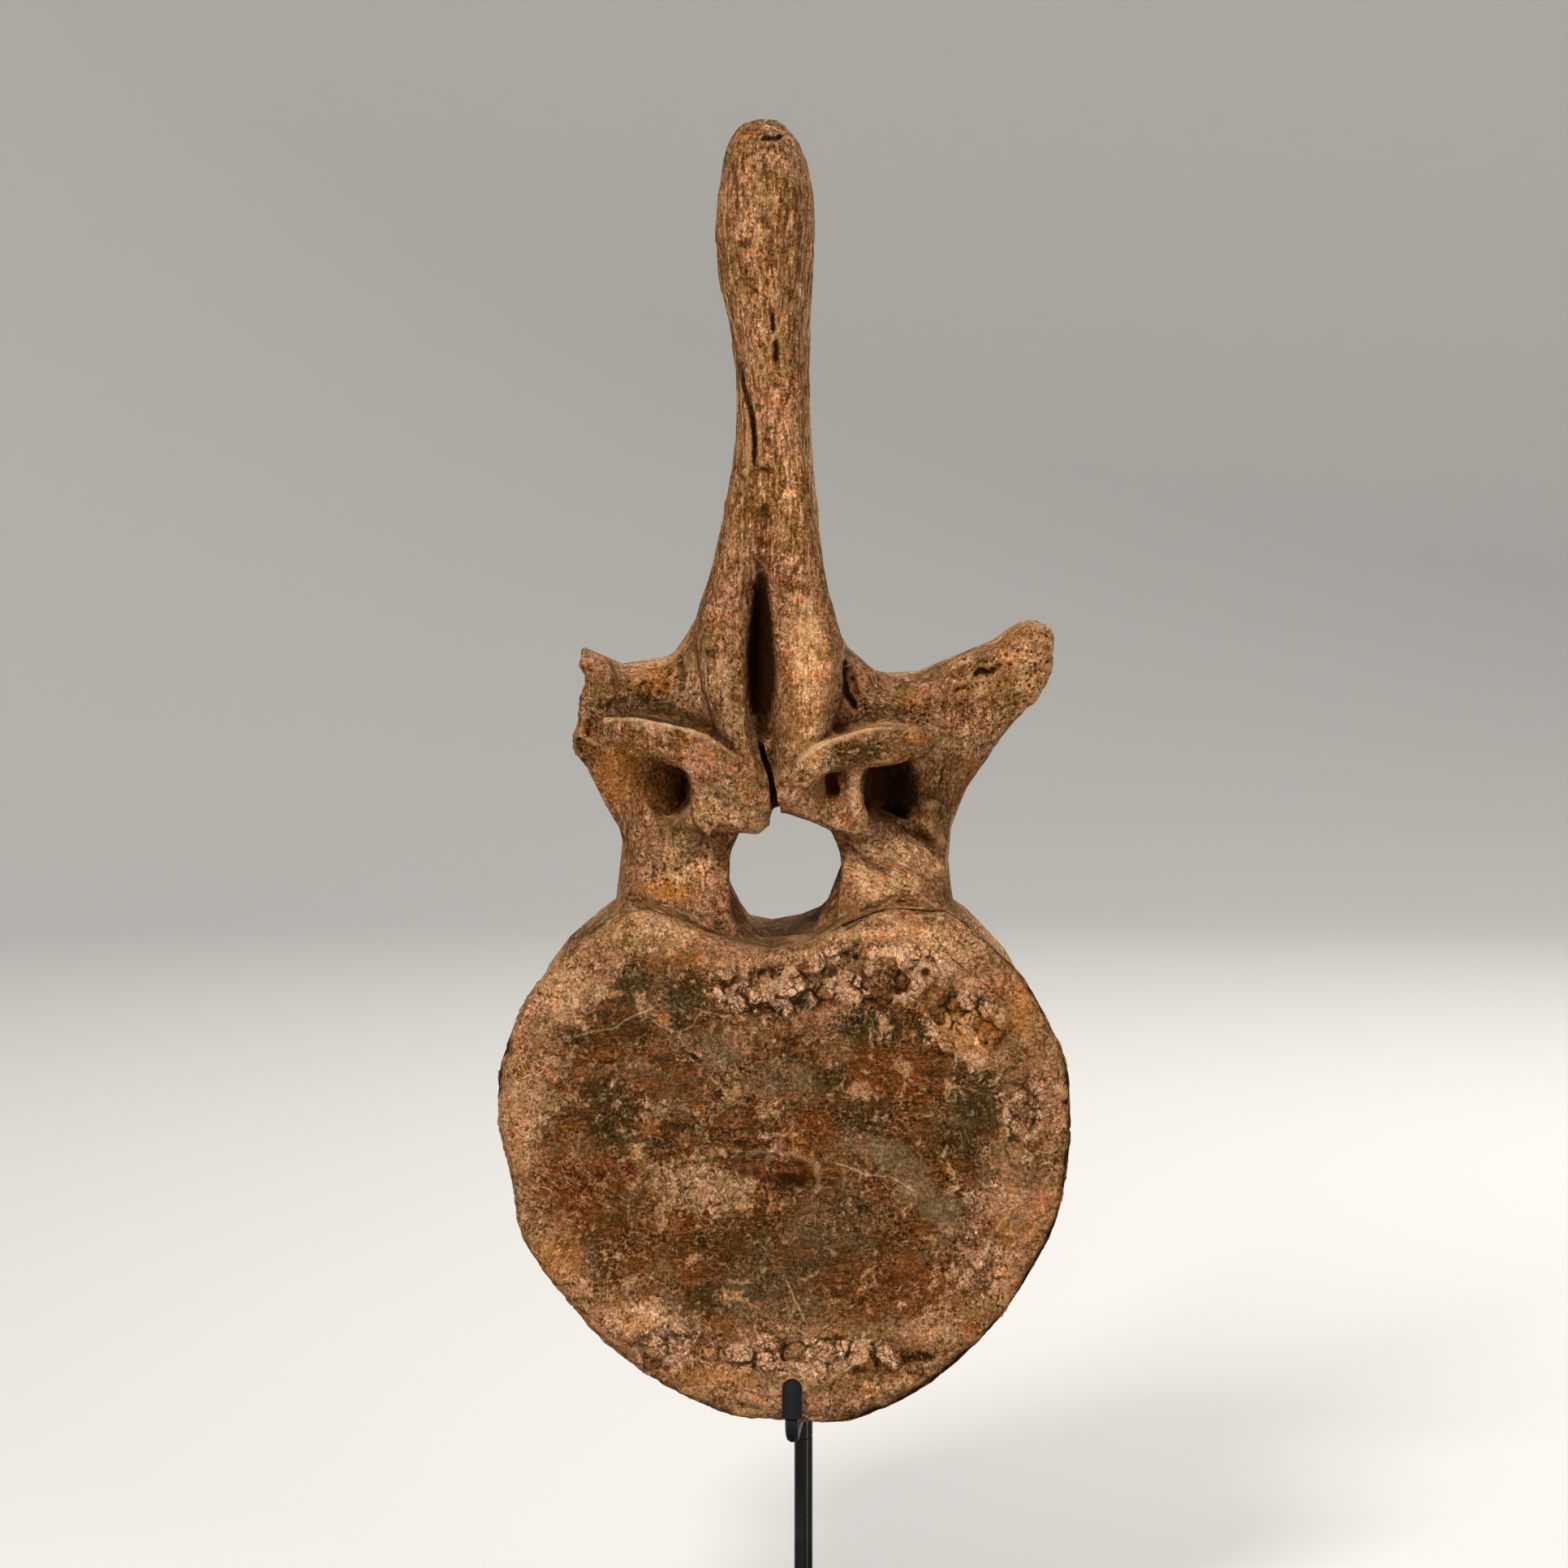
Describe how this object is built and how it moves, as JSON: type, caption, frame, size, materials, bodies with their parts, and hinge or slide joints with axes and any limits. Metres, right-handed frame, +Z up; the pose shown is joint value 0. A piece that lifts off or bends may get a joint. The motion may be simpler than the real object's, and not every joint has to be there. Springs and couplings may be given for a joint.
{
  "type": "fossil dinosaur vertebra",
  "caption": "Life-size fossil dinosaur back vertebra, rear face forward, held by bent rods on a flat steel base.",
  "frame": {"origin": "centre of the base plate on the floor, below the main rod", "axes": "+Z up; -Y towards the viewer, the way the bone's rear face looks; +X to the viewer's right"},
  "size_m": [0.24, 0.2, 0.5248],
  "materials": {
    "fossil_bone": "mineralised bone, tan pink to orange brown with dark stains, dry and matt",
    "black_steel": "satin black painted steel",
    "black_sleeve": "thin black heat-shrunk sleeve on a prong"
  },
  "bodies": {
    "root": {"centrum": "fossil_bone", "pedicle_left": "fossil_bone", "pedicle_right": "fossil_bone", "neural_arch": "fossil_bone", "neural_spine": "fossil_bone", "transverse_process_left": "fossil_bone", "transverse_process_right": "fossil_bone", "postzygapophysis_left": "fossil_bone", "postzygapophysis_right": "fossil_bone", "prezygapophysis_left": "fossil_bone", "prezygapophysis_right": "fossil_bone", "stand_base": "black_steel", "stand_collar": "black_steel", "stand_rod_front": "black_steel", "stand_rod_back": "black_steel", "stand_arm_front": "black_steel", "stand_arm_back_right": "black_steel", "stand_arm_back_left": "black_steel", "stand_sleeve_front": "black_sleeve", "stand_sleeve_back_right": "black_sleeve", "stand_sleeve_back_left": "black_sleeve"}
  },
  "joints": []
}
